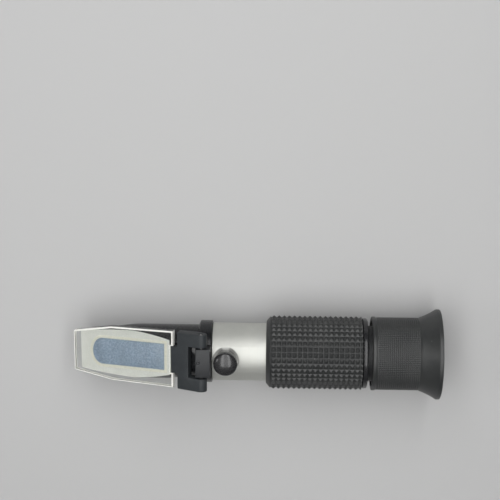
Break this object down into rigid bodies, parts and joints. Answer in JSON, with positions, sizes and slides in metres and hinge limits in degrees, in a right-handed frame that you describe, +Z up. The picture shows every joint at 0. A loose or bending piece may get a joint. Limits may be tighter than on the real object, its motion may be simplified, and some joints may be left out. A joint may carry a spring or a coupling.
{
  "type": "handheld refractometer",
  "caption": "Handheld optical refractometer with a slanted prism under a hinged clear plate, a silver barrel, a knurled rubber grip and a focusing eyecup.",
  "frame": {"origin": "under the middle of the part's box, on the surface that it lies on", "axes": "+X along the optical axis towards the eyecup, +Z up out of the prism face, +Y to the left of someone looking from the eyecup towards the prism"},
  "size_m": [0.1649, 0.0404, 0.0405],
  "materials": {
    "black_metal": "gloss black",
    "satin_metal": "satin silver",
    "steel": "bright",
    "brass": "machined",
    "black_plastic": "gloss black",
    "dark_plastic": "matte dark grey",
    "clear_plastic": "polished clear",
    "prism_glass": "ground blue-grey face",
    "lens_glass": "polished",
    "cement": "cream cement",
    "grip_rubber": "moulded pyramids",
    "black_rubber": "fine texture"
  },
  "bodies": {
    "housing": {"head_body": "black_metal", "measuring_prism": "prism_glass", "prism_seal": "cement", "head_o_ring": "black_rubber", "hinge_block": "black_metal", "hinge_pin": "steel", "barrel_tube": "satin_metal", "grip_sleeve": "grip_rubber", "rear_ring": "black_plastic", "calibration_bush": "brass", "lens_guide": "black_plastic", "reticle": "lens_glass", "reticle_cell": "black_plastic"},
    "flap": {"daylight_plate": "clear_plastic", "plate_bracket": "dark_plastic"},
    "cap": {"calibration_cap": "black_rubber"},
    "screw": {"calibration_screw": "steel"},
    "lens_carriage": {"lens_seat": "brass", "bimetal_strip": "brass", "strip_screw_1": "steel", "strip_screw_2": "steel", "objective_cell": "black_plastic", "objective_lens": "lens_glass", "objective_retainer": "brass"},
    "eyepiece_lenses": {"field_lens": "lens_glass", "lens_spacer": "black_metal", "eye_lens": "lens_glass", "lens_retaining_ring": "black_metal"},
    "eyepiece": {"eyepiece_tube": "black_plastic", "eyecup": "black_rubber"}
  },
  "joints": [
    {"name": "flap_hinge", "type": "hinge", "parent": "housing", "child": "flap", "pos_m": [-0.02385, 0, 0.03644], "axis": [0, 1, 0], "range_deg": [0, 110]},
    {"name": "cap_pull", "type": "slide", "parent": "housing", "child": "cap", "axis": [0, 0, 1], "range_m": [0, 0.012]},
    {"name": "calibration_turn", "type": "hinge", "parent": "housing", "child": "screw", "pos_m": [-0.01315, 0, 0.033], "axis": [0, 0, 1], "range_deg": [-360, 360]},
    {"name": "lens_shift", "type": "slide", "parent": "housing", "child": "lens_carriage", "axis": [0, 0, 1], "range_m": [-0.00045, 0.00045]},
    {"name": "focus_slide", "type": "slide", "parent": "housing", "child": "eyepiece_lenses", "axis": [1, 0, 0], "range_m": [-0.0015, 0.003]},
    {"name": "focus_turn", "type": "hinge", "parent": "eyepiece_lenses", "child": "eyepiece", "pos_m": [0.065, 0, 0.02024], "axis": [1, 0, 0], "range_deg": [-90, 180]}
  ],
  "couplings": [
    {"joint": "calibration_turn", "follows": "lens_shift", "rad_per_m": -13963},
    {"joint": "focus_slide", "follows": "focus_turn", "m_per_rad": 0.0009549}
  ]
}
